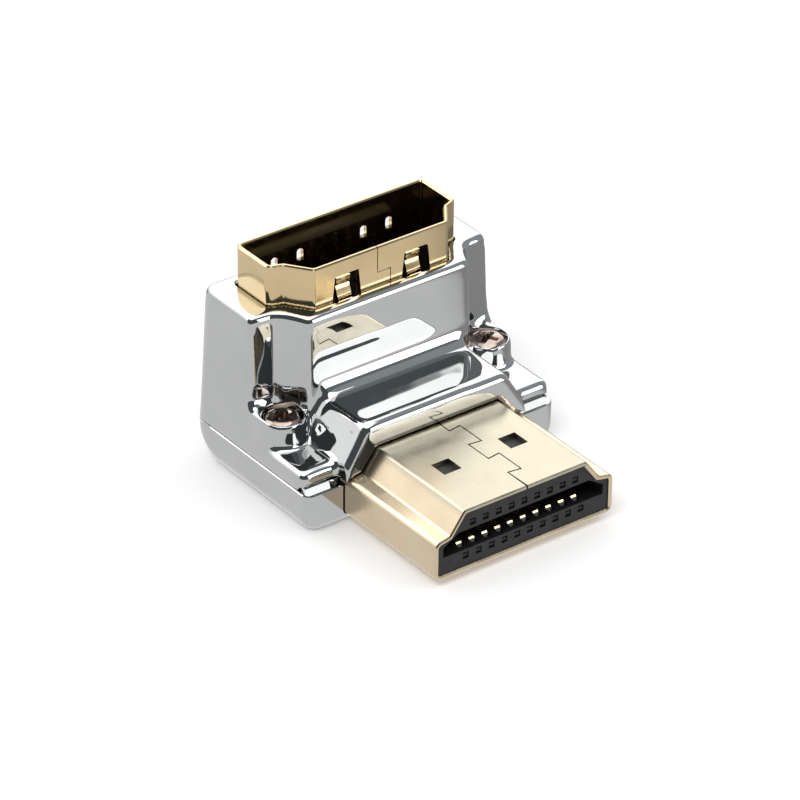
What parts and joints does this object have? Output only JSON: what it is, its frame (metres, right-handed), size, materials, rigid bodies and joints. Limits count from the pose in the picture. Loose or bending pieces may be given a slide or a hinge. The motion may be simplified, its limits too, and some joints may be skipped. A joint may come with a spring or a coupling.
{
  "type": "right angle hdmi adapter",
  "caption": "Right angle adapter that joins a flat plug to an upright socket inside a two-part plated housing held by two screws.",
  "frame": {"origin": "on the resting plane under the housing, midway between the plug's front edge and the housing's rear wall, in the plane of symmetry", "axes": "the plug points to -Y, the socket opens to +Z, +X runs across to the right seen from the plug's end"},
  "size_m": [0.0196, 0.022, 0.015],
  "materials": {
    "bright_chrome": "cast metal with bright chrome plating",
    "champagne_plate": "thin sheet with pale gold plating",
    "black_moulding": "matt moulded insulator",
    "contact_plate": "stamped strip with gold plating",
    "board_laminate": "glass laminate with a green mask",
    "screw_steel": "dark plated steel"
  },
  "bodies": {
    "root": {"circuit_board": "board_laminate", "housing_screws": "screw_steel", "lower_shell": "bright_chrome", "plug_contact_high_01": "contact_plate", "plug_contact_high_02": "contact_plate", "plug_contact_high_03": "contact_plate", "plug_contact_high_04": "contact_plate", "plug_contact_high_05": "contact_plate", "plug_contact_high_06": "contact_plate", "plug_contact_high_07": "contact_plate", "plug_contact_high_08": "contact_plate", "plug_contact_high_09": "contact_plate", "plug_contact_low_01": "contact_plate", "plug_contact_low_02": "contact_plate", "plug_contact_low_03": "contact_plate", "plug_contact_low_04": "contact_plate", "plug_contact_low_05": "contact_plate", "plug_contact_low_06": "contact_plate", "plug_contact_low_07": "contact_plate", "plug_contact_low_08": "contact_plate", "plug_contact_low_09": "contact_plate", "plug_contact_low_10": "contact_plate", "plug_insulator": "black_moulding", "plug_shell": "champagne_plate", "socket_contact_front_01": "contact_plate", "socket_contact_front_02": "contact_plate", "socket_contact_front_03": "contact_plate", "socket_contact_front_04": "contact_plate", "socket_contact_front_05": "contact_plate", "socket_contact_front_06": "contact_plate", "socket_contact_front_07": "contact_plate", "socket_contact_front_08": "contact_plate", "socket_contact_front_09": "contact_plate", "socket_contact_rear_01": "contact_plate", "socket_contact_rear_02": "contact_plate", "socket_contact_rear_03": "contact_plate", "socket_contact_rear_04": "contact_plate", "socket_contact_rear_05": "contact_plate", "socket_contact_rear_06": "contact_plate", "socket_contact_rear_07": "contact_plate", "socket_contact_rear_08": "contact_plate", "socket_contact_rear_09": "contact_plate", "socket_contact_rear_10": "contact_plate", "socket_insulator": "black_moulding", "socket_shell": "champagne_plate", "upper_shell": "bright_chrome"}
  },
  "joints": []
}
